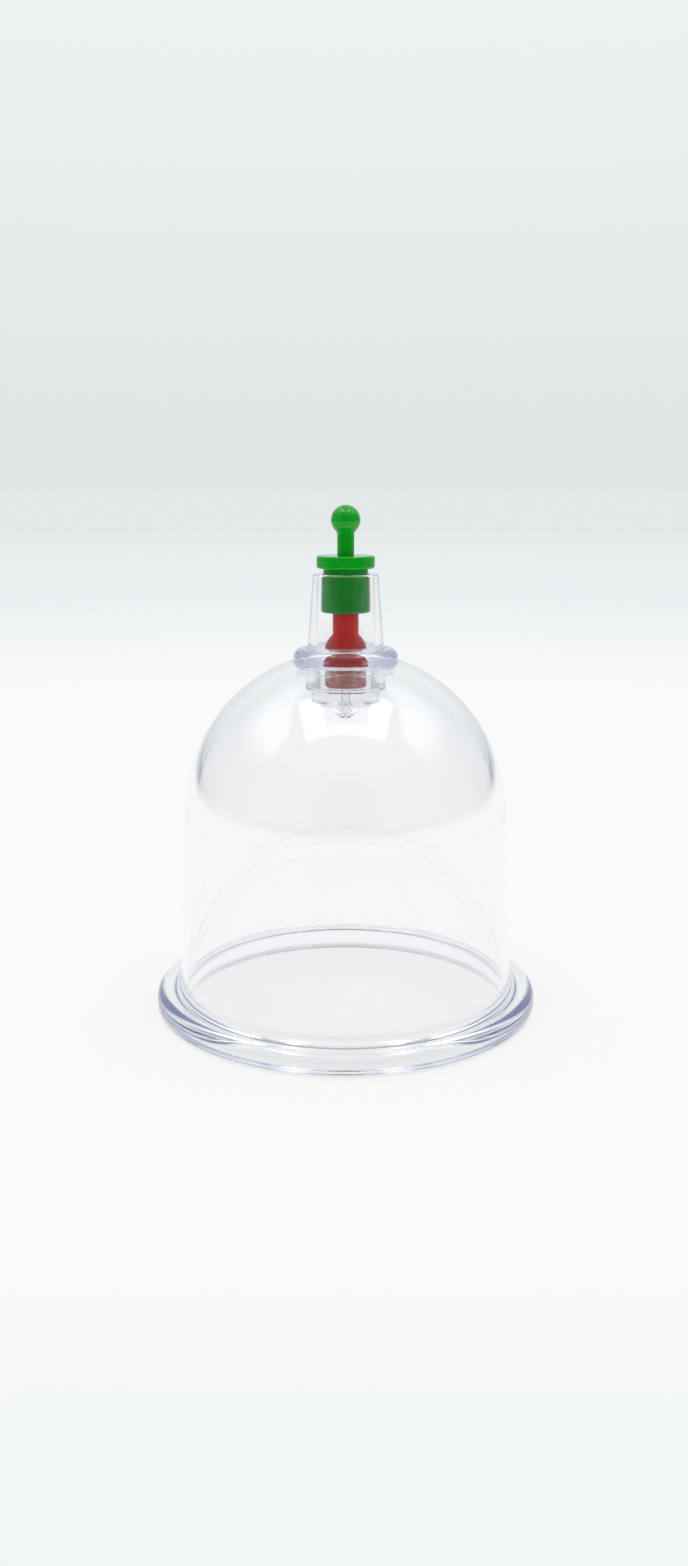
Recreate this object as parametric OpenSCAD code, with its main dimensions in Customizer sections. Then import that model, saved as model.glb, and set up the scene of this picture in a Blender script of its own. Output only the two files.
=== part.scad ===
// Vacuum cupping cup: a clear bell with a lift valve in its crown.
// The origin is the middle of the mouth, on the plane that the lip rests on, and +Z is up.
// Sizes are in millimetres. Every valve piece is placed from the flange seat in the crown.

/* [Bell] */
// Radius of the dome's outer sphere
dome_r = 27.4; // [25:0.1:33]
// Height of the dome's centre above the lip's face
dome_z = 34.3; // [28:0.1:48]
// Thickness of the dome
dome_t = 1.9; // [1.4:0.1:2.6]
// Thickness of the wall at the mouth
wall_t = 1.2; // [0.9:0.1:1.4]
// Draft of the wall in degrees, wider towards the mouth
wall_draft = 2.8; // [1:0.1:3.2]
// How far the bore runs straight down below the dome before it widens to the mouth
straight_h = 1.3; // [0.5:0.1:5]
// Width of the lip outside the wall
lip_w = 4.1; // [4:0.1:7]
// Thickness of the lip, whose upper edge is rounded by half of it
lip_t = 3.8; // [3:0.1:4.5]
// Rounding of the lip's lower edge
lip_foot_round = 1; // [0.4:0.1:1.4]
// Fillet between the lip and the wall
lip_fillet = 1.8; // [0.4:0.1:1.8]
// Rounding of the mouth's inner edge
mouth_round = 0.5; // [0.2:0.1:0.9]
// Thickness of the crown under the valve's flange
crown_t = 1.6; // [1.2:0.1:2.4]
// Width of the boss under the crown, round the spigot's hole
boss_w = 1.5; // [0.8:0.1:2]

/* [Valve housing] */
// Radius of the flange that sits in the crown
flange_r = 8.75; // [8.2:0.05:10.5]
// Thickness of the flange
flange_t = 3.15; // [2.6:0.05:4]
// Rounding of the flange's upper edge
flange_round = 1.55; // [0.8:0.05:1.8]
// How deep the flange is let into the crown, at its edge
flange_sink = 1; // [0.4:0.1:1.4]
// Radius of the spigot that passes through the crown
spigot_r = 6.65; // [6.2:0.05:7.4]
// Length of the spigot below the flange
spigot_len = 4.15; // [3.6:0.05:6]
// Radius of the neck's taper at its foot
neck_foot_r = 6.42; // [6.2:0.02:6.8]
// Radius of the neck's taper at its mouth
neck_top_r = 5.4; // [5.2:0.05:6]
// Length of the neck above the flange
neck_len = 12.25; // [10:0.05:16]
// Radius of the neck's bore at its mouth
bore_top_r = 4.55; // [4.45:0.05:4.6]
// Radius of the neck's bore at the web
bore_foot_r = 4.95; // [4.6:0.05:5.2]
// Fillet between the flange and the neck
neck_fillet = 0.5; // [0.3:0.05:1]
// Radius of the chamber below the retaining web
chamber_r = 4.3; // [4.2:0.05:4.8]
// Thickness of the retaining web between bore and chamber
web_t = 0.6; // [0.4:0.05:1]
// How far the web's top lies below the flange's top
web_drop = 0.15; // [0.1:0.05:0.4]
// Radius of the web's throat
throat_r = 3.2; // [3.15:0.05:3.3]

/* [Seat cap] */
// Radius of the cap that closes the spigot
cap_r = 5.75; // [5.2:0.05:6.2]
// Thickness of the cap
cap_t = 2.5; // [1.2:0.05:3]
// Height of the cap's plug inside the chamber
plug_h = 0.4; // [0.3:0.05:0.6]
// Height of the sealing lip on the plug
seal_h = 0.15; // [0.1:0.05:0.3]
// Width of the sealing lip
seal_w = 0.8; // [0.5:0.1:1.2]
// Radius of the air port
port_r = 0.5; // [0.4:0.05:1]
// Radius of the rounded peg under the cap
peg_r = 2.3; // [1.8:0.05:2.6]
// Length of the peg below the cap
peg_len = 2.3; // [2:0.1:4]

/* [Stopper] */
// Radius of the stopper's body
body_r = 3.45; // [3.3:0.05:3.5]
// Radius of the stopper's head, held under the web
head_r = 3.78; // [3.6:0.02:3.9]
// Height of the head's own rim
head_h = 1.2; // [0.8:0.1:1.6]
// Radius of the waist that passes through the throat
waist_r = 2.9; // [2.7:0.05:2.9]
// Radius of the flare above the web
flare_r = 3.52; // [3.4:0.02:3.8]
// Height of the flare
flare_h = 2.15; // [1.8:0.05:2.6]
// How far below the flare's foot its bow is centred
flare_drop = 1.1; // [0.6:0.1:1.6]
// Radius of the sleeve above the flare
sleeve_r = 2.17; // [2:0.01:2.3]

/* [Pull rod] */
// Radius of the ball at the top
ball_r = 2.43; // [2:0.01:3]
// Height of the ball's centre above the disc
ball_rise = 5.75; // [4.5:0.05:8]
// Radius of the stem under the ball
stem_r = 1.4; // [1.2:0.05:1.7]
// How much the stem widens where it runs into the ball
root_flare = 0.25; // [0.1:0.05:0.4]
// Length of the stem's widening below the ball
root_len = 0.45; // [0.2:0.05:1]
// Radius of the disc
disc_r = 4.83; // [4.6:0.01:5.1]
// Thickness of the disc
disc_t = 2.08; // [1.6:0.01:2.6]
// Air gap between the neck's mouth and the disc, valve shut
disc_gap = 0.88; // [0.6:0.01:1.4]
// Radius of the rod just under the disc
rod_waist_r = 3.72; // [3.2:0.01:3.8]
// Radius of the guide at its upper end
guide_top_r = 4; // [3.8:0.01:4.05]
// Radius of the guide at its lower end
guide_foot_r = 4.15; // [4.05:0.01:4.18]
// Length of the guide inside the neck
guide_len = 6.35; // [5:0.05:7]
// Depth of the socket that the sleeve stands in
socket_depth = 1; // [0.6:0.1:2]
// Radius of the spike inside the stopper
spike_r = 1; // [0.8:0.05:1.1]
// Radius of the spike's barb
barb_r = 1.4; // [1.2:0.05:1.6]
// Height of the barb's cone
barb_h = 1.1; // [0.8:0.1:1.4]

/* [Travel and fits] */
// How far the rod and the stopper lift
lift = 1.5; // [0.8:0.1:1.8]
// Gap left at a stop, and between the flare and the web
stop_gap = 0.1; // [0.05:0.05:0.2]
// Radial clearance of glued and pressed joints
bond = 0.03; // [0.01:0.01:0.08]
// Radial clearance of the flange in its recess
flange_play = 0.15; // [0.1:0.05:0.3]

/* [Hidden] */
$fn = 144;

clear_tint = [0.82, 0.85, 0.95, 0.35];
green = [0.02, 0.55, 0.13];
red = [0.62, 0.09, 0.09];

over = 1;           // how far a cut runs past a face
edge = 0.35;        // small rounding on moulded edges
mouth_edge = 0.4;   // rounding outside the neck's mouth
bore_edge = 0.25;   // rounding inside the neck's mouth
foot_edge = 0.5;    // rounding under the stopper
spike_skin = 0.6;   // rubber left between the spike's tip and the foot of the head

// Wall: a cone tangent to the dome's sphere
tangent_r = dome_r * cos(wall_draft);
tangent_z = dome_z + dome_r * sin(wall_draft);
function wall_r(z) = tangent_r + (tangent_z - z) * tan(wall_draft);
mouth_r = wall_r(0) - wall_t / cos(wall_draft);
lip_r = wall_r(lip_t) + lip_w;

// Crown: the flange's seat, cut level into the sphere
recess_r = flange_r + flange_play;
flange_z = dome_z + sqrt(dome_r * dome_r - recess_r * recess_r) - flange_sink;
hole_r = spigot_r + bond;
ceiling_z = flange_z - crown_t;
boss_r = hole_r + boss_w;

// Bore: the dome's inner sphere, a straight band, then a cone out to the mouth
inside_r = dome_r - dome_t;
straight_z = dome_z - straight_h;
bore_lean = atan((mouth_r - inside_r) / straight_z);

// Housing
flange_top = flange_z + flange_t;
neck_top = flange_top + neck_len;
spigot_z = flange_z - spigot_len;
neck_lean = atan((neck_foot_r - neck_top_r) / (neck_len - mouth_edge));
web_top = flange_top - web_drop;
web_z = web_top - web_t;

// Seat cap
cap_z = spigot_z - cap_t;
seat_z = spigot_z + plug_h + seal_h;
seal_mid_r = (port_r + body_r) / 2;

// Stopper, shut
head_top = web_z - lift - stop_gap;
head_z = head_top - head_h;
flare_z = web_top + stop_gap;
flare_mid = (flare_r * flare_r - sleeve_r * sleeve_r - flare_h * (flare_h + 2 * flare_drop))
    / (2 * (flare_r - sleeve_r));
flare_bow = norm([flare_r - flare_mid, flare_drop]);

// Pull rod, shut
disc_z = neck_top + disc_gap;
disc_top = disc_z + disc_t;
guide_z = neck_top - guide_len;
socket_z = guide_z + socket_depth;
socket_r = sleeve_r + bond;
ball_z = disc_top + ball_rise;
spike_z = head_z + spike_skin;

// What a quarter round of radius c takes off a square corner at +x +y
module corner_off(c) {
    difference() {
        square(c + over);
        circle(r = c);
    }
}

// What a concave fillet of radius c fills in a corner at the origin
module corner_fill(c) {
    difference() {
        square(c);
        translate([c, c]) circle(r = c);
    }
}

// Half section of a concave fillet of radius c, between a level face at height z
// and a wall of radius r there that leans in by lean degrees as it rises.
// It runs into the solid behind it by depth.
module lean_fillet(r, z, lean, c, depth) {
    mid = [r - c * tan(lean) + c / cos(lean), z + c];
    touch = mid - c * [cos(lean), sin(lean)];
    difference() {
        polygon([
            [r - depth, z - depth], [mid.x, z - depth], [mid.x, z], touch, [r - depth, touch.y]
        ]);
        translate(mid) circle(r = c);
    }
}

// What a round of radius c takes off the corner at radius r on the plane z = 0, where a wall
// starts that leans in by lean degrees as it rises. It runs out past the plane and the wall.
module mouth_off(r, lean, c) {
    mid = [r + c * (1 - sin(lean)) / cos(lean), c];
    touch = mid - c * [cos(lean), sin(lean)];
    difference() {
        polygon([[r - over, -over], [mid.x, -over], mid, touch, [r - over, touch.y]]);
        translate(mid) circle(r = c);
    }
}

// Half section of a turned disc of radius r from z up by h, with rounded edges
module disc_section(r, z, h, low, high) {
    translate([0, z]) difference() {
        square([r, h]);
        if (low > 0) translate([r - low, low]) mirror([0, 1]) corner_off(low);
        if (high > 0) translate([r - high, h - high]) corner_off(high);
    }
}

module bell_outside() {
    intersection() {
        translate([0, dome_z]) circle(r = dome_r);
        translate([0, tangent_z]) square(dome_r);
    }
    polygon([[0, 0], [wall_r(0), 0], [tangent_r, tangent_z], [0, tangent_z]]);
    disc_section(lip_r, 0, lip_t, lip_foot_round, lip_t / 2);
    lean_fillet(wall_r(lip_t), lip_t, wall_draft, lip_fillet, wall_t / 2);
}

module bell_inside() {
    difference() {
        intersection() {
            translate([0, dome_z]) circle(r = inside_r);
            translate([0, dome_z]) square(inside_r);
        }
        disc_section(boss_r, ceiling_z, inside_r, edge, 0);
    }
    polygon([
        [0, -over], [mouth_r + over * tan(bore_lean), -over], [inside_r, straight_z],
        [inside_r, dome_z], [0, dome_z]
    ]);
    mouth_off(mouth_r, bore_lean, mouth_round);
}

module cup_bell() {
    color(clear_tint) rotate_extrude() difference() {
        bell_outside();
        bell_inside();
        square([hole_r, dome_z + dome_r + over]);
        translate([0, flange_z]) square([recess_r, dome_r]);
    }
}

module valve_housing() {
    color(clear_tint) rotate_extrude() difference() {
        union() {
            disc_section(spigot_r, spigot_z, spigot_len + edge, edge, 0);
            disc_section(flange_r, flange_z, flange_t, edge, flange_round);
            polygon([
                [0, flange_top - edge], [neck_foot_r, flange_top - edge], [neck_foot_r, flange_top],
                [neck_top_r, neck_top - mouth_edge], [0, neck_top - mouth_edge]
            ]);
            disc_section(neck_top_r, neck_top - 2 * mouth_edge, 2 * mouth_edge, 0, mouth_edge);
            lean_fillet(neck_foot_r, flange_top, neck_lean, neck_fillet, edge);
        }
        polygon([
            [0, web_top], [bore_foot_r, web_top], [bore_top_r, neck_top],
            [bore_top_r, neck_top + over], [0, neck_top + over]
        ]);
        square([throat_r, neck_top]);
        square([chamber_r, web_z]);
        translate([bore_top_r, neck_top]) mirror([0, 1]) corner_fill(bore_edge);
    }
}

module seat_cap() {
    peg_mid = cap_z + peg_r - peg_len;
    peg_foot = min(peg_mid, cap_z);
    color(clear_tint) rotate_extrude() difference() {
        union() {
            disc_section(cap_r, cap_z, cap_t, 2 * edge, edge / 2);
            disc_section(chamber_r - bond, spigot_z - edge, plug_h + edge, 0, 0);
            translate([seal_mid_r - seal_w / 2, seat_z - plug_h]) square([seal_w, plug_h]);
            intersection() {
                translate([0, peg_mid]) circle(r = peg_r);
                translate([0, peg_mid - peg_r]) square(peg_r);
            }
            disc_section(peg_r, peg_foot, cap_z - peg_foot + edge, 0, 0);
        }
        square([port_r, neck_top]);
    }
}

module stopper() {
    color(red) rotate_extrude() difference() {
        union() {
            disc_section(body_r, seat_z, head_z - seat_z + edge, foot_edge, 0);
            disc_section(head_r, head_z, head_h, edge, edge);
            disc_section(waist_r, head_z, flare_z - head_z + edge, 0, 0);
            intersection() {
                translate([flare_mid, flare_z - flare_drop]) circle(r = flare_bow);
                translate([0, flare_z]) square([flare_r, flare_h]);
            }
            disc_section(sleeve_r, flare_z, socket_z - flare_z, 0, 0);
        }
        spike_section(bond);
    }
}

// Half section of the spike and its barb, grown all round by a clearance.
// It runs up past the socket's floor, into the guide.
module spike_section(clearance) {
    translate([0, spike_z - clearance])
        square([spike_r + clearance, socket_z + edge - spike_z + clearance]);
    translate([0, spike_z]) polygon([
        [0, -clearance], [spike_r + clearance, -clearance],
        [barb_r + clearance, barb_h], [0, barb_h + clearance]
    ]);
}

// Half section of the ball, and of the stem with the widened root that runs into it
module ball_and_stem() {
    root_r = stem_r + root_flare;
    root_z = ball_z - sqrt(ball_r * ball_r - root_r * root_r);
    intersection() {
        translate([0, ball_z]) circle(r = ball_r);
        translate([0, ball_z - ball_r]) square([ball_r, 2 * ball_r]);
    }
    polygon([
        [0, disc_top - edge], [stem_r, disc_top - edge], [stem_r, root_z - root_len],
        [root_r, root_z + edge / 4], [0, root_z + edge / 4]
    ]);
}

module pull_rod() {
    color(green) rotate_extrude() {
        difference() {
            union() {
                ball_and_stem();
                disc_section(disc_r, disc_z, disc_t, edge, edge);
                disc_section(rod_waist_r, neck_top - edge, disc_gap + 2 * edge, 0, 0);
                polygon([
                    [0, guide_z + edge], [guide_foot_r, guide_z + edge],
                    [guide_top_r, neck_top], [0, neck_top]
                ]);
                disc_section(guide_foot_r, guide_z, 2 * edge, edge, 0);
            }
            translate([0, guide_z - over]) square([socket_r, socket_depth + over]);
        }
        spike_section(0);
    }
}

cup_bell();
valve_housing();
seat_cap();
pull_rod();
stopper();
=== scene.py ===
"""Looks of a clear vacuum cupping cup with a lift valve in its crown.

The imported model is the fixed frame. Every piece of the cup is a figure of revolution about one
upright axis, so each is drawn as a half section and spun. Sizes of the cup are in millimetres, and
MM takes them to metres. The studio's sizes are in metres, and its light is in linear tones.
"""
import logging
import math
from dataclasses import dataclass
from enum import Enum
from typing import Any, ClassVar

import bpy
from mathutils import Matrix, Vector


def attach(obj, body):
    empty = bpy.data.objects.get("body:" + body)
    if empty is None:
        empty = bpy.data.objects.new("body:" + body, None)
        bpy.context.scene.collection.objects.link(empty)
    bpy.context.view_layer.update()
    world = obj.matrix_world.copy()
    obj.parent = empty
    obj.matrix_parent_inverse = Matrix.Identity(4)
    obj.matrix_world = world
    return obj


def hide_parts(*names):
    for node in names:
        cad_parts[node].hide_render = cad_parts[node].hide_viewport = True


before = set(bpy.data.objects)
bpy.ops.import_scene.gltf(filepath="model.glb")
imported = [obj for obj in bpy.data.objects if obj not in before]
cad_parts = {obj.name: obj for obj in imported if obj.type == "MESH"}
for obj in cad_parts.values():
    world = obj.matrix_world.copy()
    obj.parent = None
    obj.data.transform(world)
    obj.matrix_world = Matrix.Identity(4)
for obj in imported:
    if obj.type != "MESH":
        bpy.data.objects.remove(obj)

LOG = logging.getLogger("cupping_cup")
MM = 0.001
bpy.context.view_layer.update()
# Light turns many times inside the lip, and with Blender's own limits its edges go black.
CLEAR_BOUNCES = 96
UPRIGHT = (0, 0, 1)
BLACK = (0.0, 0.0, 0.0)
Colour = tuple[float, float, float]
# Where something fades in: 0 up to the first value, 1 from the second on.
Span = tuple[float, float]


class Body(Enum):
    """The bodies that pieces ride on."""

    CUP = "cup"
    VALVE = "valve"


class Slot(Enum):
    """The record's material slots."""

    CLEAR = "clear_plastic"
    GREEN = "green_plastic"
    RED = "red_rubber"


class Wire:
    """One node's output, which takes part in arithmetic with others and with numbers."""

    def __init__(self, sheet: "NodeSheet", socket: Any) -> None:
        """Keeps the socket and the sheet that new Math nodes go on."""
        self.sheet = sheet
        self.socket = socket

    def _math(self, operation: str, *values: Any) -> "Wire":
        """Adds one Math node.

        Args:
            operation: the Math node's operation.
            values: its values or wires, in order.

        Returns:
            The node's result.
        """
        return self.sheet.wire(
            "ShaderNodeMath", {"operation": operation}, dict(enumerate(values))
        )

    def __add__(self, other: Any) -> "Wire":
        """Sum."""
        return self._math("ADD", self, other)

    def __radd__(self, other: Any) -> "Wire":
        """Sum with a number on the left."""
        return self._math("ADD", other, self)

    def __sub__(self, other: Any) -> "Wire":
        """Difference."""
        return self._math("SUBTRACT", self, other)

    def __rsub__(self, other: Any) -> "Wire":
        """Difference from a number on the left."""
        return self._math("SUBTRACT", other, self)

    def __mul__(self, other: Any) -> "Wire":
        """Product."""
        return self._math("MULTIPLY", self, other)

    def __rmul__(self, other: Any) -> "Wire":
        """Product with a number on the left."""
        return self._math("MULTIPLY", other, self)

    def absolute(self) -> "Wire":
        """Size without sign."""
        return self._math("ABSOLUTE", self)

    def at_most(self, cap: float) -> "Wire":
        """The smaller of this and a number."""
        return self._math("MINIMUM", self, cap)

    def rise(self, low: float, high: float) -> "Wire":
        """0 up to low, 1 from high on, and smooth between them."""
        return self.sheet.wire(
            "ShaderNodeMapRange",
            {"interpolation_type": "SMOOTHSTEP"},
            {"Value": self, "From Min": low, "From Max": high, "To Min": 0.0, "To Max": 1.0},
        )


class NodeSheet:
    """The nodes of one material or of the world."""

    def __init__(self, owner: Any) -> None:
        """Empties the owner's node tree and keeps it."""
        owner.use_nodes = True
        self.tree = owner.node_tree
        self.tree.nodes.clear()

    def add(self, kind: str, settings: dict[str, Any], sockets: dict[Any, Any]) -> bpy.types.Node:
        """Adds a node, sets it up, then fills its sockets.

        Args:
            kind: the node's type.
            settings: its settings, by name.
            sockets: values or wires by socket name or number.

        Returns:
            The node.
        """
        node = self.tree.nodes.new(kind)
        for name, value in settings.items():
            setattr(node, name, value)
        for name, value in sockets.items():
            if isinstance(value, Wire):
                self.tree.links.new(value.socket, node.inputs[name])
            else:
                node.inputs[name].default_value = value
        return node

    def wire(
        self, kind: str, settings: dict[str, Any], sockets: dict[Any, Any], out: Any = 0
    ) -> Wire:
        """Adds a node and returns one of its outputs as a wire."""
        return Wire(self, self.add(kind, settings, sockets).outputs[out])

    def axes(self, vector: Wire) -> tuple[Wire, Wire, Wire]:
        """The x, y and z of a vector."""
        parts = self.add("ShaderNodeSeparateXYZ", {}, {0: vector})
        x, y, z = (Wire(self, out) for out in parts.outputs)
        return x, y, z

    def mix_colour(self, factor: Any, first: Any, second: Any) -> Wire:
        """Blends two colours, from the first at factor 0 to the second at 1."""
        a, b = (v if isinstance(v, Wire) else (*v, 1.0) for v in (first, second))
        return self.wire(
            "ShaderNodeMix", {"data_type": "RGBA"}, {"Factor": factor, 6: a, 7: b}, 2
        )

    def bump(self, strength: float, distance: float, height: Wire) -> Wire:
        """A bumped normal, from a height that runs from 0 to 1 over a distance in metres."""
        sockets = {"Strength": strength, "Distance": distance, "Height": height}
        return self.wire("ShaderNodeBump", {}, sockets)

    def noise(
        self, scale: float, detail: float, stretch: tuple[float, float, float] = (1, 1, 1)
    ) -> Wire:
        """Noise on the piece's own coordinates.

        Args:
            scale: lumps per metre.
            detail: octaves.
            stretch: how the coordinates are scaled along each axis first.

        Returns:
            Values about 0.5.
        """
        place = self.wire("ShaderNodeTexCoord", {}, {}, "Object")
        spread = self.wire("ShaderNodeMapping", {}, {"Vector": place, "Scale": stretch})
        return self.wire(
            "ShaderNodeTexNoise", {}, {"Vector": spread, "Scale": scale, "Detail": detail}, "Fac"
        )


@dataclass(frozen=True)
class ClearPlastic:
    """Clear moulding, faintly violet-blue where light runs a long way in it."""

    name: str = "clear_plastic"
    ior: float = 1.56
    tint: Colour = (0.61, 0.65, 0.81)
    density: float = 15.0
    polish: float = 0.004
    haze: float = 0.02
    haze_scale: float = 90
    haze_span: Span = (0.45, 0.8)
    specks: float = 0.08
    speck_scale: float = 1400
    speck_span: Span = (0.72, 0.8)
    wave_scale: float = 55
    wave_stretch: tuple[float, float, float] = (1, 1, 0.45)
    wave_height: float = 0.0035 * MM

    def build(self) -> bpy.types.Material:
        """Makes the material."""
        material = bpy.data.materials.new(self.name)
        sheet = NodeSheet(material)
        haze = sheet.noise(self.haze_scale, 3).rise(*self.haze_span)
        specks = sheet.noise(self.speck_scale, 1).rise(*self.speck_span)
        waves = sheet.noise(self.wave_scale, 1, self.wave_stretch)
        skin = sheet.wire(
            "ShaderNodeBsdfPrincipled",
            {},
            {
                "Base Color": (1, 1, 1, 1),
                "Roughness": self.polish + haze * self.haze + specks * self.specks,
                "IOR": self.ior,
                "Transmission Weight": 1.0,
                "Normal": sheet.bump(1.0, self.wave_height, waves),
            },
        )
        depth = sheet.wire(
            "ShaderNodeVolumeAbsorption", {}, {"Color": (*self.tint, 1.0), "Density": self.density}
        )
        sheet.add("ShaderNodeOutputMaterial", {}, {"Surface": skin, "Volume": depth})
        return material


@dataclass(frozen=True)
class SolidMoulding:
    """Coloured moulding, glossy or satin, that light enters a little way."""

    name: str
    colour: Colour
    deep: Colour
    roughness: float
    shine: float
    glow: float
    glow_reach: float
    grain: float
    ior: float = 1.5
    cloud_scale: float = 260
    cloud_span: Span = (0.35, 0.75)
    cloud_roughness: float = 0.05
    fine_scale: float = 2600
    fine_roughness: float = 0.02
    bump: float = 0.35
    least_reach: float = 0.25

    def build(self) -> bpy.types.Material:
        """Makes the material."""
        material = bpy.data.materials.new(self.name)
        sheet = NodeSheet(material)
        cloud = sheet.noise(self.cloud_scale, 3)
        fine = sheet.noise(self.fine_scale, 2)
        colour = sheet.mix_colour(cloud.rise(*self.cloud_span), self.colour, self.deep)
        roughness = self.roughness + cloud * self.cloud_roughness + fine * self.fine_roughness
        shares = (c / max(self.colour) for c in self.colour)
        skin = sheet.wire(
            "ShaderNodeBsdfPrincipled",
            {"subsurface_method": "RANDOM_WALK"},
            {
                "Base Color": colour,
                "Roughness": roughness,
                "IOR": self.ior,
                "Specular IOR Level": self.shine,
                "Subsurface Weight": self.glow,
                "Subsurface Radius": [
                    self.least_reach + (1 - self.least_reach) * share for share in shares
                ],
                "Subsurface Scale": self.glow_reach * MM,
                "Normal": sheet.bump(self.bump, self.grain * MM, fine),
            },
        )
        sheet.add("ShaderNodeOutputMaterial", {}, {"Surface": skin})
        return material


@dataclass(frozen=True)
class Point:
    """A place in the half section, in millimetres: radius and height."""

    r: float
    z: float

    def to(self, other: "Point") -> Vector:
        """The step from this point to another."""
        return Vector((other.r - self.r, other.z - self.z))

    def moved(self, step: Vector) -> "Point":
        """This point moved by a step."""
        return Point(self.r + step.x, self.z + step.y)


class Outline:
    """A half section drawn as one line of vertices, then turned about the upright axis.

    A plane merged into one vertex starts the line. Straight stretches are extruded and arcs are
    spun. A corner waits in a list until the next one is known, because its rounding needs both.
    """

    hold: ClassVar[float] = 0.05
    shortest_held: ClassVar[float] = 4 * hold
    nothing: ClassVar[float] = 1e-6
    arc_step: ClassVar[float] = math.radians(7.5)
    arc_chord: ClassVar[float] = 0.8
    arc_least_steps: ClassVar[int] = 3
    turn_steps: ClassVar[int] = 256
    merge_gap: ClassVar[float] = 0.0001 * MM
    crease: ClassVar[float] = math.radians(20)

    def __init__(self, name: str, start: Point) -> None:
        """Starts the outline of a piece at a point."""
        bpy.ops.object.select_all(action="DESELECT")
        bpy.ops.mesh.primitive_plane_add(size=MM, location=(0, 0, 0))
        self.piece = bpy.context.object
        self.piece.name = name
        self.start = start
        self.at = start
        self.corners: list[tuple[Point, float]] = []
        bpy.ops.object.mode_set(mode="EDIT")
        bpy.ops.mesh.select_all(action="SELECT")
        bpy.ops.mesh.merge(type="CENTER")
        bpy.ops.transform.translate(value=(start.r * MM, 0, start.z * MM))

    def _step(self, target: Point) -> None:
        """Extrudes the last vertex to a point."""
        step = self.at.to(target) * MM
        bpy.ops.mesh.extrude_region_move(TRANSFORM_OT_translate={"value": (step.x, 0, step.y)})
        self.at = target

    def _straight(self, target: Point) -> None:
        """Draws a straight stretch, with a short hold at each end that keeps its shading flat."""
        way = self.at.to(target)
        if way.length < self.nothing:
            return
        if way.length > self.shortest_held:
            tiny = way.normalized() * self.hold
            self._step(self.at.moved(tiny))
            self._step(target.moved(-tiny))
        self._step(target)

    def _spin(self, centre: Point, angle: float) -> None:
        """Spins the last vertex about a centre, by an angle that is positive from +X to +Z."""
        arm = centre.to(self.at)
        wanted = math.ceil(abs(angle) / min(self.arc_step, self.arc_chord / arm.length))
        bpy.ops.mesh.spin(
            steps=max(self.arc_least_steps, wanted),
            angle=angle,
            center=(centre.r * MM, 0, centre.z * MM),
            axis=(0, 1, 0),
        )
        cos, sin = math.cos(angle), math.sin(angle)
        self.at = centre.moved(Vector((arm.x * cos - arm.y * sin, arm.x * sin + arm.y * cos)))

    def line(self, r: float, z: float, rounding: float = 0) -> "Outline":
        """Goes straight to a corner.

        Args:
            r: the corner's radius.
            z: its height.
            rounding: the radius of the arc that replaces the corner.

        Returns:
            This outline.
        """
        self.corners.append((Point(r, z), rounding))
        return self

    def _flush(self, beyond: Point | None = None) -> None:
        """Draws the stretches that are waiting, towards a point beyond them if there is one."""
        for i, (corner, rounding) in enumerate(self.corners):
            ahead = self.corners[i + 1][0] if i + 1 < len(self.corners) else beyond
            if rounding and ahead is not None:
                arrive = self.at.to(corner).normalized()
                leave = corner.to(ahead).normalized()
                turn = math.atan2(arrive.x * leave.y - arrive.y * leave.x, arrive.dot(leave))
                back = rounding * math.tan(abs(turn) / 2)
                self._straight(corner.moved(-arrive * back))
                side = Vector((-arrive.y, arrive.x)) * math.copysign(rounding, turn)
                self._spin(self.at.moved(side), turn)
            else:
                self._straight(corner)
        self.corners = []

    def arc_to_height(self, centre: Point, z: float) -> "Outline":
        """Goes round a centre the short way, on the side away from the axis, to a height."""
        self._flush()
        arm = centre.to(self.at)
        goal = math.asin(min(1.0, (z - centre.z) / arm.length))
        self._spin(centre, goal - math.asin(arm.y / arm.length))
        return self

    def close(self) -> "Outline":
        """Goes straight back to the start, as it does round a bore."""
        self._flush(self.start)
        self._straight(self.start)
        return self

    def turn(self) -> bpy.types.Object:
        """Turns the outline into the piece.

        Returns:
            The finished mesh object, at the origin.
        """
        self._flush()
        self._merge()
        bpy.ops.mesh.spin(
            steps=self.turn_steps, angle=2 * math.pi, center=(0, 0, 0), axis=UPRIGHT
        )
        self._merge()
        bpy.ops.mesh.normals_make_consistent(inside=False)
        bpy.ops.object.mode_set(mode="OBJECT")
        bpy.ops.object.shade_smooth_by_angle(angle=self.crease)
        return self.piece

    def _merge(self) -> None:
        """Joins vertices that lie in one place, and selects everything."""
        bpy.ops.mesh.select_all(action="SELECT")
        bpy.ops.mesh.remove_doubles(threshold=self.merge_gap)
        bpy.ops.mesh.select_all(action="SELECT")


def dress(
    piece: bpy.types.Object, node: str, body: Body, slot: Slot, finish: bpy.types.Material
) -> None:
    """Gives a piece its material, hides the CAD node that it replaces, and says which body it
    rides on.

    Args:
        piece: the new piece.
        node: the CAD node that it replaces.
        body: the body that it moves with.
        slot: the record's material slot; not used.
        finish: its material.
    """
    piece.data.materials.clear()
    piece.data.materials.append(finish)
    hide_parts(node)
    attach(piece, body.value)
    LOG.info("%s: %d faces", piece.name, len(piece.data.polygons))


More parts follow.
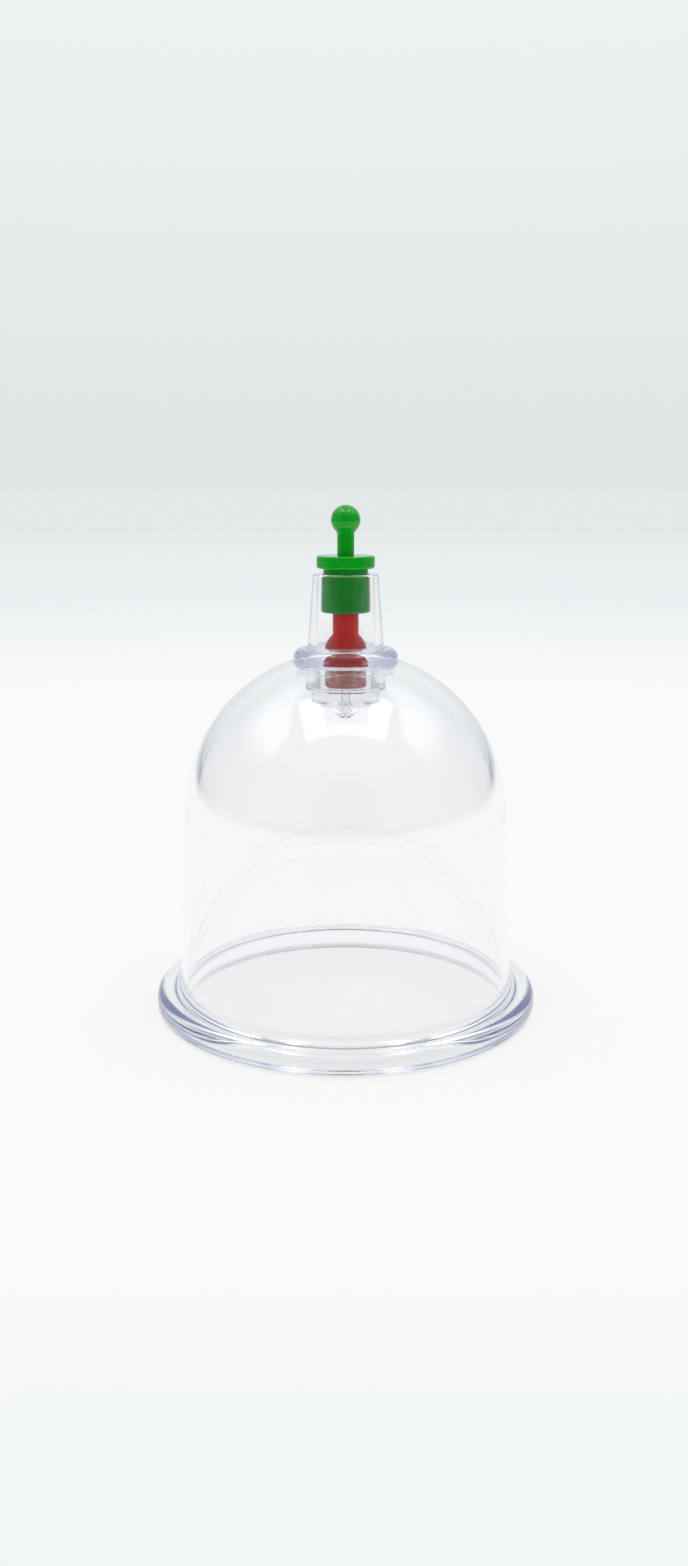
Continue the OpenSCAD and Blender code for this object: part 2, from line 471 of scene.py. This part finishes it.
@dataclass
class Bell:
    """The bell: lip, drafted wall and round dome, with the flange's seat cut into its crown."""

    dome_r: float = 27.4
    dome_z: float = 34.3
    dome_t: float = 1.9
    wall_t: float = 1.2
    draft: float = math.radians(2.8)
    lip_w: float = 4.1
    lip_t: float = 3.8
    lip_top_round: float = 1.9
    lip_foot_round: float = 1.0
    lip_fillet: float = 1.8
    mouth_round: float = 0.5
    straight_h: float = 1.3
    bore_round: float = 8.0
    crown_t: float = 1.6
    recess_r: float = 8.9
    sink: float = 1.0
    glue: float = 0.02
    seat_r: float = 8.75
    hole_r: float = 6.65
    boss_r: float = 8.18
    boss_edge: float = 0.35

    def wall_r(self, z: float) -> float:
        """Outer radius of the wall at a height."""
        return self.dome_r * math.cos(self.draft) + (self.tangent_z - z) * math.tan(self.draft)

    @property
    def mouth_r(self) -> float:
        """Inner radius of the wall at the mouth."""
        return self.wall_r(0) - self.wall_t / math.cos(self.draft)

    @property
    def tangent_z(self) -> float:
        """Height at which the wall turns into the dome."""
        return self.dome_z + self.dome_r * math.sin(self.draft)

    @property
    def flange_z(self) -> float:
        """Height of the flange's seat."""
        return self.dome_z + math.sqrt(self.dome_r**2 - self.recess_r**2) - self.sink

    def build(self, finish: bpy.types.Material) -> bpy.types.Object:
        """Makes the bell, from the lip's foot up its outside and down its inside."""
        wall_foot_r = self.wall_r(self.lip_t)
        lip_r = wall_foot_r + self.lip_w
        inside_r = self.dome_r - self.dome_t
        crown_z = self.flange_z + self.sink
        seat_r, hole_r = self.seat_r - self.glue, self.hole_r - self.glue
        centre = Point(0, self.dome_z)
        ceiling_z = self.flange_z - self.crown_t
        boss_top = self.dome_z + math.sqrt(inside_r**2 - self.boss_r**2)
        outline = Outline("bell", Point(lip_r - self.lip_t, 0))
        outline.line(lip_r, 0, self.lip_foot_round)
        outline.line(lip_r, self.lip_t, self.lip_top_round)
        outline.line(wall_foot_r, self.lip_t, self.lip_fillet)
        outline.line(self.wall_r(self.tangent_z), self.tangent_z)
        outline.arc_to_height(centre, crown_z)
        outline.line(seat_r, crown_z).line(seat_r, self.flange_z)
        outline.line(hole_r, self.flange_z).line(hole_r, ceiling_z)
        outline.line(self.boss_r, ceiling_z, self.boss_edge).line(self.boss_r, boss_top)
        outline.arc_to_height(centre, self.dome_z)
        outline.line(inside_r, self.dome_z - self.straight_h, self.bore_round)
        outline.line(self.mouth_r, 0, self.mouth_round)
        piece = outline.close().turn()
        dress(piece, "cup_bell", Body.CUP, Slot.CLEAR, finish)
        return piece


@dataclass
class Valve:
    """The valve in the crown: its clear housing and cap, and the rod and stopper that lift.

    Bonded pieces overlap by the air value, because a gap would mirror where a bond doesn't.
    """

    seat_z: float
    air: float = 0.02
    edge: float = 0.35
    bond: float = 0.03
    flange_r: float = 8.75
    flange_t: float = 3.15
    flange_round: float = 1.55
    spigot_r: float = 6.65
    spigot_len: float = 4.15
    neck_foot_r: float = 6.42
    neck_top_r: float = 5.4
    neck_len: float = 12.25
    neck_fillet: float = 0.5
    mouth_edge: float = 0.4
    bore_top_r: float = 4.55
    bore_foot_r: float = 4.95
    bore_edge: float = 0.25
    chamber_r: float = 4.3
    web_t: float = 0.6
    web_drop: float = 0.15
    throat_r: float = 3.2
    cap_r: float = 5.75
    cap_t: float = 2.5
    plug_h: float = 0.4
    seal_h: float = 0.15
    seal_w: float = 0.8
    port_r: float = 0.5
    peg_r: float = 2.3
    peg_len: float = 2.3
    body_r: float = 3.45
    head_r: float = 3.78
    head_h: float = 1.2
    foot_edge: float = 0.5
    waist_r: float = 2.9
    flare_r: float = 3.52
    flare_h: float = 2.15
    flare_drop: float = 1.1
    sleeve_r: float = 2.17
    ball_r: float = 2.43
    ball_rise: float = 5.75
    stem_r: float = 1.4
    root_flare: float = 0.25
    root_len: float = 0.45
    disc_r: float = 4.83
    disc_t: float = 2.08
    disc_gap: float = 0.88
    rod_waist_r: float = 3.72
    guide_top_r: float = 4.0
    guide_foot_r: float = 4.15
    guide_len: float = 6.35
    socket_depth: float = 1.0
    spike_r: float = 1.0
    spike_skin: float = 0.6
    barb_r: float = 1.4
    barb_h: float = 1.1
    lift: float = 1.5
    stop_gap: float = 0.1

    def __post_init__(self) -> None:
        """Works out the heights that the pieces share, all from the flange's seat."""
        self.flange_top = self.seat_z + self.flange_t
        self.neck_top = self.flange_top + self.neck_len
        self.spigot_z = self.seat_z - self.spigot_len
        self.web_top = self.flange_top - self.web_drop
        self.web_z = self.web_top - self.web_t
        self.plug_z = self.spigot_z + self.plug_h
        self.head_top = self.web_z - self.lift - self.stop_gap
        self.head_z = self.head_top - self.head_h
        self.flare_z = self.web_top + self.stop_gap
        self.guide_z = self.neck_top - self.guide_len
        self.socket_z = self.guide_z + self.socket_depth
        self.spike_z = self.head_z + self.spike_skin

    def housing(self, finish: bpy.types.Material) -> bpy.types.Object:
        """Makes the housing: spigot, flange and neck, with the web across its bore."""
        outline = Outline("valve_body", Point(self.chamber_r, self.spigot_z))
        outline.line(self.spigot_r, self.spigot_z, self.edge)
        outline.line(self.spigot_r, self.seat_z - self.air)
        outline.line(self.flange_r, self.seat_z - self.air, self.edge)
        outline.line(self.flange_r, self.flange_top, self.flange_round)
        outline.line(self.neck_foot_r, self.flange_top, self.neck_fillet)
        outline.line(self.neck_top_r, self.neck_top, self.mouth_edge)
        outline.line(self.bore_top_r, self.neck_top, self.bore_edge)
        outline.line(self.bore_foot_r, self.web_top).line(self.throat_r, self.web_top)
        outline.line(self.throat_r, self.web_z).line(self.chamber_r, self.web_z)
        piece = outline.close().turn()
        dress(piece, "valve_housing", Body.CUP, Slot.CLEAR, finish)
        return piece

    def cap(self, finish: bpy.types.Material) -> bpy.types.Object:
        """Makes the cap under the spigot, with its round peg, air port and sealing ring."""
        cap_z = self.spigot_z - self.cap_t
        cap_top = self.spigot_z + self.air
        plug_r = self.chamber_r + self.air
        middle = Point(0, cap_z + self.peg_r - self.peg_len)
        tip_z = middle.z - math.sqrt(self.peg_r**2 - self.port_r**2)
        seal_mid_r = (self.port_r + self.body_r) / 2
        seal_in_r, seal_out_r = (seal_mid_r + side * self.seal_w / 2 for side in (-1, 1))
        seal_z = self.plug_z + self.seal_h
        outline = Outline("seat", Point(self.port_r, tip_z))
        outline.arc_to_height(middle, middle.z).line(self.peg_r, cap_z)
        outline.line(self.cap_r, cap_z, 2 * self.edge).line(self.cap_r, cap_top, self.edge / 2)
        outline.line(plug_r, cap_top).line(plug_r, self.plug_z)
        outline.line(seal_out_r, self.plug_z).line(seal_out_r, seal_z)
        outline.line(seal_in_r, seal_z).line(seal_in_r, self.plug_z)
        outline.line(self.port_r, self.plug_z)
        piece = outline.close().turn()
        dress(piece, "seat_cap", Body.CUP, Slot.CLEAR, finish)
        return piece

    def stopper(self, finish: bpy.types.Material) -> bpy.types.Object:
        """Makes the red stopper, hollow where the rod's spike goes into it."""
        foot_z = self.plug_z + self.seal_h + self.air
        rise, drop = self.flare_h, self.flare_drop
        bow_r = (self.flare_r**2 - self.sleeve_r**2 - rise * (rise + 2 * drop)) / (
            2 * (self.flare_r - self.sleeve_r)
        )
        hole_r = self.spike_r + self.bond
        barb_top = self.spike_z + self.barb_h
        outline = Outline("rubber_stopper", Point(0, foot_z))
        outline.line(self.body_r, foot_z, self.foot_edge).line(self.body_r, self.head_z)
        outline.line(self.head_r, self.head_z, self.edge)
        outline.line(self.head_r, self.head_top, self.edge)
        outline.line(self.waist_r, self.head_top).line(self.waist_r, self.flare_z)
        outline.line(self.flare_r, self.flare_z)
        outline.arc_to_height(Point(bow_r, self.flare_z - drop), self.flare_z + rise)
        outline.line(self.sleeve_r, self.socket_z).line(hole_r, self.socket_z)
        outline.line(hole_r, barb_top).line(self.barb_r + self.bond, barb_top)
        outline.line(hole_r, self.spike_z - self.bond).line(0, self.spike_z - self.bond)
        piece = outline.turn()
        dress(piece, "stopper", Body.VALVE, Slot.RED, finish)
        return piece

    def rod(self, finish: bpy.types.Material) -> bpy.types.Object:
        """Makes the green rod: barbed spike, guide, waist, disc, stem and ball."""
        socket_r = self.sleeve_r + self.bond
        disc_z = self.neck_top + self.disc_gap
        disc_top = disc_z + self.disc_t
        middle = Point(0, disc_top + self.ball_rise)
        root_r = self.stem_r + self.root_flare
        root_z = middle.z - math.sqrt(self.ball_r**2 - root_r**2)
        barb_top = self.spike_z + self.barb_h
        outline = Outline("rod", Point(0, self.spike_z))
        outline.line(self.spike_r, self.spike_z).line(self.barb_r, barb_top)
        outline.line(self.spike_r, barb_top).line(self.spike_r, self.socket_z)
        outline.line(socket_r, self.socket_z).line(socket_r, self.guide_z)
        outline.line(self.guide_foot_r, self.guide_z, self.edge)
        outline.line(self.guide_top_r, self.neck_top).line(self.rod_waist_r, self.neck_top)
        outline.line(self.rod_waist_r, disc_z).line(self.disc_r, disc_z, self.edge)
        outline.line(self.disc_r, disc_top, self.edge).line(self.stem_r, disc_top)
        outline.line(self.stem_r, root_z - self.root_len).line(root_r, root_z)
        outline.arc_to_height(middle, middle.z + self.ball_r)
        piece = outline.turn()
        dress(piece, "pull_rod", Body.VALVE, Slot.GREEN, finish)
        return piece


class Rays:
    """The kinds of ray that the studio and its floor tell apart."""

    def __init__(self, sheet: NodeSheet) -> None:
        """Adds one Light Path node and reads it."""
        self.node = sheet.add("ShaderNodeLightPath", {}, {})
        self.sheet = sheet

    def _read(self, name: str) -> Wire:
        """One output, held to 0 or 1."""
        return Wire(self.sheet, self.node.outputs[name]).at_most(1.0)

    def scattered(self) -> Wire:
        """1 for rays that have met a matt surface, which carry the light that falls on things."""
        return self._read("Diffuse Depth")

    def mirrored(self) -> Wire:
        """1 for rays from the camera that a glossy surface has turned back, else 0."""
        return self._read("Glossy Depth") * (1 - self.scattered())

    def straight(self) -> Wire:
        """1 for what the camera sees directly or straight through the clear plastic, else 0."""
        through = self._read("Is Transmission Ray")
        unturned = (1 - self._read("Glossy Depth")) * (1 - self.scattered())
        return (self._read("Is Camera Ray") + through * unturned).at_most(1.0)


@dataclass(frozen=True)
class StudioFloor:
    """Pale floor, which glows with the photo's tones and is only faintly lit, so shadows stay.

    Matt surfaces see a plain lit floor. What the plastic mirrors sees it dim in front and at the
    sides, as it would be outside the studio's light.
    """

    radius: float = 12.0
    rim_vertices: int = 128
    drop: float = 0.02 * MM
    albedo: float = 0.8
    seen_albedo: float = 0.13
    lit: float = 0.155
    # Painted falloff of light: the floor's glow runs from the near tone to darker tones in front
    # and further out.
    near: Colour = (0.947, 0.947, 0.949)
    front: Colour = (0.875, 0.91, 0.92)
    front_span: Span = (0.07, 0.13)
    mid: Colour = (0.83, 0.87, 0.885)
    mid_span: Span = (0.25, 0.85)
    far: Colour = (0.765, 0.795, 0.80)
    far_span: Span = (0.5, 2.6)
    dim_front: float = 0.15
    dim_front_span: Span = (0.2, 0.5)
    dim_side: float = 0.5
    dim_side_span: Span = (0.25, 0.6)
    mottle_scale: float = 40
    mottle_least: float = 0.985
    mottle_depth: float = 0.03

    def material(self) -> bpy.types.Material:
        """Makes the floor's material."""
        material = bpy.data.materials.new("studio_floor")
        # Rays find the floor's glow by themselves, and sampling it as a lamp only adds noise.
        material.cycles.emission_sampling = "NONE"
        sheet = NodeSheet(material)
        place = sheet.wire("ShaderNodeTexCoord", {}, {}, "Object")
        away = sheet.wire("ShaderNodeVectorMath", {"operation": "LENGTH"}, {0: place}, "Value")
        x, y, _ = sheet.axes(place)
        forward = 0 - y
        # Painted falloff of light: the glow darkens in front of the cup and further out.
        tone = sheet.mix_colour(forward.rise(*self.front_span), self.near, self.front)
        tone = sheet.mix_colour(away.rise(*self.mid_span), tone, self.mid)
        tone = sheet.mix_colour(away.rise(*self.far_span), tone, self.far)
        glow = sheet.wire(
            "ShaderNodeVectorMath", {"operation": "SUBTRACT"}, {0: tone, 1: (self.lit,) * 3}
        )
        mottle = self.mottle_least + sheet.noise(self.mottle_scale, 3) * self.mottle_depth
        rays = Rays(sheet)
        front = 1 - forward.rise(*self.dim_front_span) * (1 - self.dim_front)
        side = 1 - x.absolute().rise(*self.dim_side_span) * (1 - self.dim_side)
        shown = 1 - (1 - front * side) * rays.mirrored()
        plain = sheet.mix_colour(mottle, BLACK, (self.albedo,) * 3)
        faint = sheet.mix_colour(mottle * shown, BLACK, (self.seen_albedo,) * 3)
        matt = sheet.wire("ShaderNodeBsdfDiffuse", {}, {"Color": plain})
        seen = sheet.wire("ShaderNodeBsdfDiffuse", {}, {"Color": faint})
        shine = sheet.wire("ShaderNodeEmission", {}, {"Color": glow, "Strength": shown})
        seen = sheet.wire("ShaderNodeAddShader", {}, {0: seen, 1: shine})
        either = sheet.wire("ShaderNodeMixShader", {}, {0: rays.scattered(), 1: seen, 2: matt})
        sheet.add("ShaderNodeOutputMaterial", {}, {"Surface": either})
        return material

    def build(self) -> bpy.types.Object:
        """Lays the floor a hair under the lip, so that the two don't share a plane."""
        bpy.ops.object.select_all(action="DESELECT")
        bpy.ops.mesh.primitive_circle_add(
            vertices=self.rim_vertices, radius=self.radius, fill_type="NGON", location=(0, 0, 0)
        )
        floor = bpy.context.object
        floor.name = "floor"
        bpy.ops.object.mode_set(mode="EDIT")
        bpy.ops.mesh.select_all(action="SELECT")
        bpy.ops.transform.translate(value=(0, 0, -self.drop))
        bpy.ops.object.mode_set(mode="OBJECT")
        floor.data.materials.append(self.material())
        return floor


@dataclass(frozen=True)
class LightTent:
    """Soft studio, told by direction and by kind of ray.

    The camera sees a pale backdrop, directly and through the plastic. What is mirrored sees a dim
    room with that backdrop behind the cup, a pale ceiling, a dark camera side, a panel on each
    side and a frame-shaped overhead light. Matt surfaces are lit evenly, and more from above.
    """

    horizon: Colour = (0.765, 0.795, 0.80)
    high: Colour = (0.86, 0.895, 0.905)
    high_span: Span = (0.03, 0.36)
    room: Colour = (0.27, 0.32, 0.38)
    behind_lean: float = 0.3
    behind_span: Span = (0.35, 0.95)
    ceiling: Colour = (0.60, 0.63, 0.67)
    ceiling_span: Span = (0.55, 0.8)
    shade: Colour = (0.03, 0.035, 0.045)
    camera_way: tuple[float, float, float] = (0.0, -0.985, 0.17)
    camera_span: Span = (0.86, 0.95)
    soft: Colour = (0.47, 0.48, 0.485)
    panel: float = 1.55
    fill: float = 1.1
    inner_edge: tuple[float, float, float] = (0.800, -0.375, 0.469)
    inner_span: Span = (0.0, 0.05)
    front_edge: tuple[float, float, float] = (0.350, -0.937, 0.0)
    front_span: Span = (0.0, 0.06)
    panel_height: Span = (0.42, 0.8)
    panel_back: Span = (0.45, 0.75)
    overhead: float = 5.5
    overhead_middle: float = 1.0
    lamp: float = 6.2
    top_height: Span = (0.5, 0.7)
    top_side: Span = (0.36, 0.44)
    top_front: Span = (-0.36, -0.30)
    top_back: Span = (0.1, 0.3)
    middle_side: Span = (0.2, 0.3)
    middle_front: Span = (-0.30, -0.24)

    def _dot(self, way: Wire, axis: tuple[float, float, float]) -> Wire:
        """How far a direction points along an axis."""
        return way.sheet.wire(
            "ShaderNodeVectorMath", {"operation": "DOT_PRODUCT"}, {0: way, 1: axis}, "Value"
        )

    def _side_panel(self, way: Wire, side: int) -> Wire:
        """Where one side's panel is, from 0 to 1, with side 1 at +X and -1 at -X."""
        inner, front = ((-side * x, y, z) for x, y, z in (self.inner_edge, self.front_edge))
        inside = 0 - self._dot(way, inner)
        behind = 0 - self._dot(way, front)
        _, back, height = way.sheet.axes(way)
        edges = inside.rise(*self.inner_span) * behind.rise(*self.front_span)
        return edges * height.rise(*self.panel_height) * (1 - back.rise(*self.panel_back))

    def _overhead(self, way: Wire) -> tuple[Wire, Wire]:
        """Where the overhead light is, and where its dimmer middle is, each from 0 to 1."""
        x, y, z = way.sheet.axes(way)
        top = (1 - x.absolute().rise(*self.top_side)) * z.rise(*self.top_height)
        top = top * y.rise(*self.top_front) * (1 - y.rise(*self.top_back))
        middle = (1 - x.absolute().rise(*self.middle_side)) * y.rise(*self.middle_front)
        return top, middle

    def _room(self, way: Wire, backdrop: Wire) -> Wire:
        """The room that is mirrored, without its lights."""
        sheet = way.sheet
        _, y, z = sheet.axes(way)
        room = sheet.mix_colour(z.rise(*self.ceiling_span), self.room, self.ceiling)
        behind = (y + z * self.behind_lean).rise(*self.behind_span)
        around = sheet.mix_colour(behind, room, backdrop)
        near_camera = self._dot(way, self.camera_way).rise(*self.camera_span)
        return sheet.mix_colour(near_camera, around, self.shade)

    def build(self) -> None:
        """Lights the scene by direction."""
        world = bpy.data.worlds.new("light_tent")
        bpy.context.scene.world = world
        sheet = NodeSheet(world)
        way = sheet.wire("ShaderNodeTexCoord", {}, {}, "Generated")
        height = self._dot(way, UPRIGHT)
        backdrop = sheet.mix_colour(height.rise(*self.high_span), self.horizon, self.high)
        rays = Rays(sheet)
        matt = rays.scattered()
        around = sheet.mix_colour(matt, self._room(way, backdrop), self.soft)
        sides = self._side_panel(way, -1) + self._side_panel(way, 1)
        glare = sheet.mix_colour(matt, (self.panel,) * 3, (self.fill,) * 3)
        tent = sheet.mix_colour(sides, around, glare)
        top, middle = self._overhead(way)
        glare = sheet.mix_colour(middle, (self.overhead,) * 3, (self.overhead_middle,) * 3)
        glare = sheet.mix_colour(matt, glare, (self.lamp,) * 3)
        tent = sheet.mix_colour(top, tent, glare)
        shown = sheet.mix_colour(rays.straight(), tent, backdrop)
        light = sheet.wire("ShaderNodeBackground", {}, {"Color": shown, "Strength": 1.0})
        sheet.add("ShaderNodeOutputWorld", {}, {"Surface": light})


@dataclass(frozen=True)
class PhotoCamera:
    """The camera that fits the photograph's circles."""

    place: tuple[float, float, float] = (-0.00028, -0.22113, 0.08982)
    pitch: float = math.radians(12.918)
    focal_px: float = 1324.8
    image_h: int = 1566
    sensor: float = 36.0
    clip_start: float = 0.005

    def build(self) -> None:
        """Makes the camera and sets it as the scene's."""
        bpy.ops.object.select_all(action="DESELECT")
        bpy.ops.object.camera_add(location=self.place, rotation=(math.pi / 2 - self.pitch, 0, 0))
        camera = bpy.context.object
        camera.name = "photo_camera"
        camera.data.sensor_width = self.sensor
        camera.data.lens = self.sensor * self.focal_px / self.image_h
        camera.data.clip_start = self.clip_start
        bpy.context.scene.camera = camera


def main() -> None:
    """Builds the cup, its studio and the camera."""
    logging.basicConfig(level=logging.INFO, format="%(name)s: %(message)s")
    clear = ClearPlastic().build()
    green = SolidMoulding(
        name="green_plastic",
        colour=(0.0, 0.36, 0.010),
        deep=(0.0, 0.32, 0.008),
        roughness=0.08,
        shine=0.4,
        glow=0.05,
        glow_reach=0.8,
        grain=0.0012,
    ).build()
    red = SolidMoulding(
        name="red_rubber",
        colour=(0.92, 0.026, 0.020),
        deep=(0.84, 0.021, 0.016),
        roughness=0.3,
        shine=0.25,
        glow=0.05,
        glow_reach=0.6,
        grain=0.012,
    ).build()
    bell = Bell()
    bell.build(clear)
    valve = Valve(seat_z=bell.flange_z)
    valve.housing(clear)
    valve.cap(clear)
    valve.stopper(red)
    valve.rod(green)
    StudioFloor().build()
    LightTent().build()
    PhotoCamera().build()
    scene = bpy.context.scene
    scene.view_settings.view_transform = "Standard"
    scene.cycles.max_bounces = scene.cycles.transmission_bounces = CLEAR_BOUNCES
    scene.cycles.glossy_bounces = CLEAR_BOUNCES


if __name__ == "__main__":
    main()
